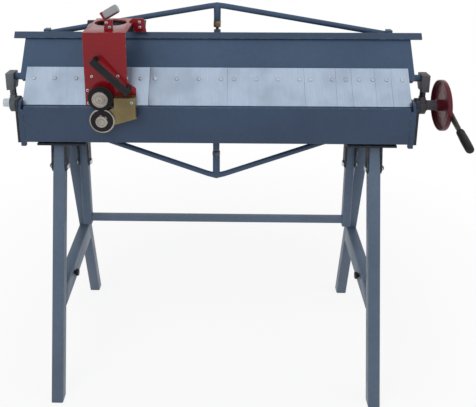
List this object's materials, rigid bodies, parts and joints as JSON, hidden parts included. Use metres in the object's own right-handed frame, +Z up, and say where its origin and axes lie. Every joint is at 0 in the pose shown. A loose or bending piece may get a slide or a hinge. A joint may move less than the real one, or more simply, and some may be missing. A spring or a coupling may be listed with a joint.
{
  "type": "segmented sheet metal brake",
  "caption": "Hand brake on a trestle stand with a bending leaf, segmented clamp beam, cam lever clamping, truss stiffeners and a sliding slitter carriage.",
  "frame": {"origin": "on the floor, in the middle of the machine's length and depth", "axes": "+Z up, +X along the bend line towards the lever, +Y away from the user, who stands on the -Y side"},
  "size_m": [1.5624, 0.6496, 1.336],
  "materials": {
    "frame_blue": "satin",
    "beam_blue": "satin",
    "dark_paint": "matt",
    "segment_zinc": "ground and zinc plated",
    "bright_steel": "turned",
    "dark_steel": "blackened",
    "link_grey": "plain",
    "bronze": "turned",
    "carriage_red": "gloss",
    "disc_red": "gloss",
    "black_grip": "matt",
    "yellow_zinc": "yellow passivated",
    "fastener_zinc": "zinc plated",
    "knife_steel": "blackened"
  },
  "bodies": {
    "stand": {"front_post_left": "frame_blue", "rear_leg_left": "frame_blue", "brace_left": "frame_blue", "brace_knob_left": "black_grip", "base_plate_left": "dark_paint", "cheek_left": "dark_paint", "shaft_bush_left": "bronze", "front_post_right": "frame_blue", "rear_leg_right": "frame_blue", "brace_right": "frame_blue", "brace_knob_right": "black_grip", "base_plate_right": "dark_paint", "cheek_right": "dark_paint", "shaft_bush_right": "bronze", "hanging_frame": "frame_blue", "lower_beam": "beam_blue", "lower_truss": "beam_blue", "lower_truss_stud": "dark_steel"},
    "leaf": {"leaf": "beam_blue", "leaf_arm_left": "beam_blue", "leaf_arm_right": "beam_blue"},
    "cam": {"cam_shaft": "bright_steel", "cam_plate_left": "link_grey", "cam_plate_right": "link_grey", "end_nut": "fastener_zinc", "cam_sleeve": "link_grey", "red_disc": "disc_red", "lever_bar": "link_grey", "lever_grip": "black_grip"},
    "clamp": {"clamp_beam": "beam_blue", "guide_rail": "frame_blue", "segment_1": "segment_zinc", "segment_2": "segment_zinc", "segment_3": "segment_zinc", "segment_4": "segment_zinc", "segment_5": "segment_zinc", "segment_6": "segment_zinc", "segment_7": "segment_zinc", "segment_8": "segment_zinc", "segment_9": "segment_zinc", "upper_truss": "beam_blue", "upper_truss_stud": "bronze", "lug_pin_left": "bright_steel", "lug_pin_right": "bright_steel"},
    "link_left": {"link_block_left": "link_grey", "link_stud_left": "bright_steel", "strap_left": "link_grey"},
    "link_right": {"link_block_right": "link_grey", "link_stud_right": "bright_steel", "strap_right": "link_grey"},
    "saddle": {"saddle": "dark_paint"},
    "roller_left": {"roller_left": "bright_steel"},
    "roller_right": {"roller_right": "bright_steel"},
    "carriage": {"carriage_body": "carriage_red", "grab_handle": "black_grip", "knife_carrier": "yellow_zinc"},
    "knob": {"knurled_knob": "bright_steel"},
    "upper_knife": {"upper_knife": "knife_steel"},
    "lower_knife": {"lower_knife": "knife_steel"}
  },
  "joints": [
    {"name": "leaf_swing", "type": "hinge", "parent": "stand", "child": "leaf", "pos_m": [-0.03125, -0.097, 0.997], "axis": [-1, 0, 0], "range_deg": [0, 102]},
    {"name": "cam_lever", "type": "hinge", "parent": "stand", "child": "cam", "pos_m": [-0.03125, 0.005, 0.968], "axis": [-1, 0, 0], "range_deg": [0, 90]},
    {"name": "beam_lift", "type": "slide", "parent": "stand", "child": "clamp", "axis": [0, 0, 1], "range_m": [0, 0.007]},
    {"name": "link_swing_left", "type": "hinge", "parent": "clamp", "child": "link_left", "pos_m": [-0.74525, 0.005, 1.066], "axis": [-1, 0, 0], "range_deg": [0, 3.83]},
    {"name": "link_swing_right", "type": "hinge", "parent": "clamp", "child": "link_right", "pos_m": [0.68275, 0.005, 1.066], "axis": [-1, 0, 0], "range_deg": [0, 3.83]},
    {"name": "carriage_travel", "type": "slide", "parent": "clamp", "child": "saddle", "axis": [1, 0, 0], "range_m": [-0.215, 0.915]},
    {"name": "carriage_lift_off", "type": "slide", "parent": "saddle", "child": "carriage", "axis": [0, 0, 1], "range_m": [0, 0.2225]},
    {"name": "roller_spin_left", "type": "hinge", "parent": "saddle", "child": "roller_left", "pos_m": [-0.47125, 0.07896, 1.22109], "axis": [0, 0.8039, -0.5948], "continuous": true},
    {"name": "roller_spin_right", "type": "hinge", "parent": "saddle", "child": "roller_right", "pos_m": [-0.30625, 0.07896, 1.22109], "axis": [0, 0.8039, -0.5948], "continuous": true},
    {"name": "upper_knife_spin", "type": "hinge", "parent": "carriage", "child": "upper_knife", "pos_m": [-0.40525, -0.1441, 1.037], "axis": [0, -1, 0], "continuous": true},
    {"name": "lower_knife_spin", "type": "hinge", "parent": "carriage", "child": "lower_knife", "pos_m": [-0.40525, -0.1388, 0.958], "axis": [0, -1, 0], "continuous": true},
    {"name": "knob_turn", "type": "hinge", "parent": "carriage", "child": "knob", "pos_m": [-0.39175, -0.086, 1.29899], "axis": [0.866, 0, 0.5], "continuous": true}
  ],
  "couplings": [
    {"joint": "cam_lever", "follows": "beam_lift", "rad_per_m": 224.3},
    {"joint": "link_swing_left", "follows": "beam_lift", "rad_per_m": 9.526},
    {"joint": "link_swing_right", "follows": "beam_lift", "rad_per_m": 9.526},
    {"joint": "carriage_lift_off", "follows": "leaf_swing", "m_per_rad": 0.1249}
  ]
}
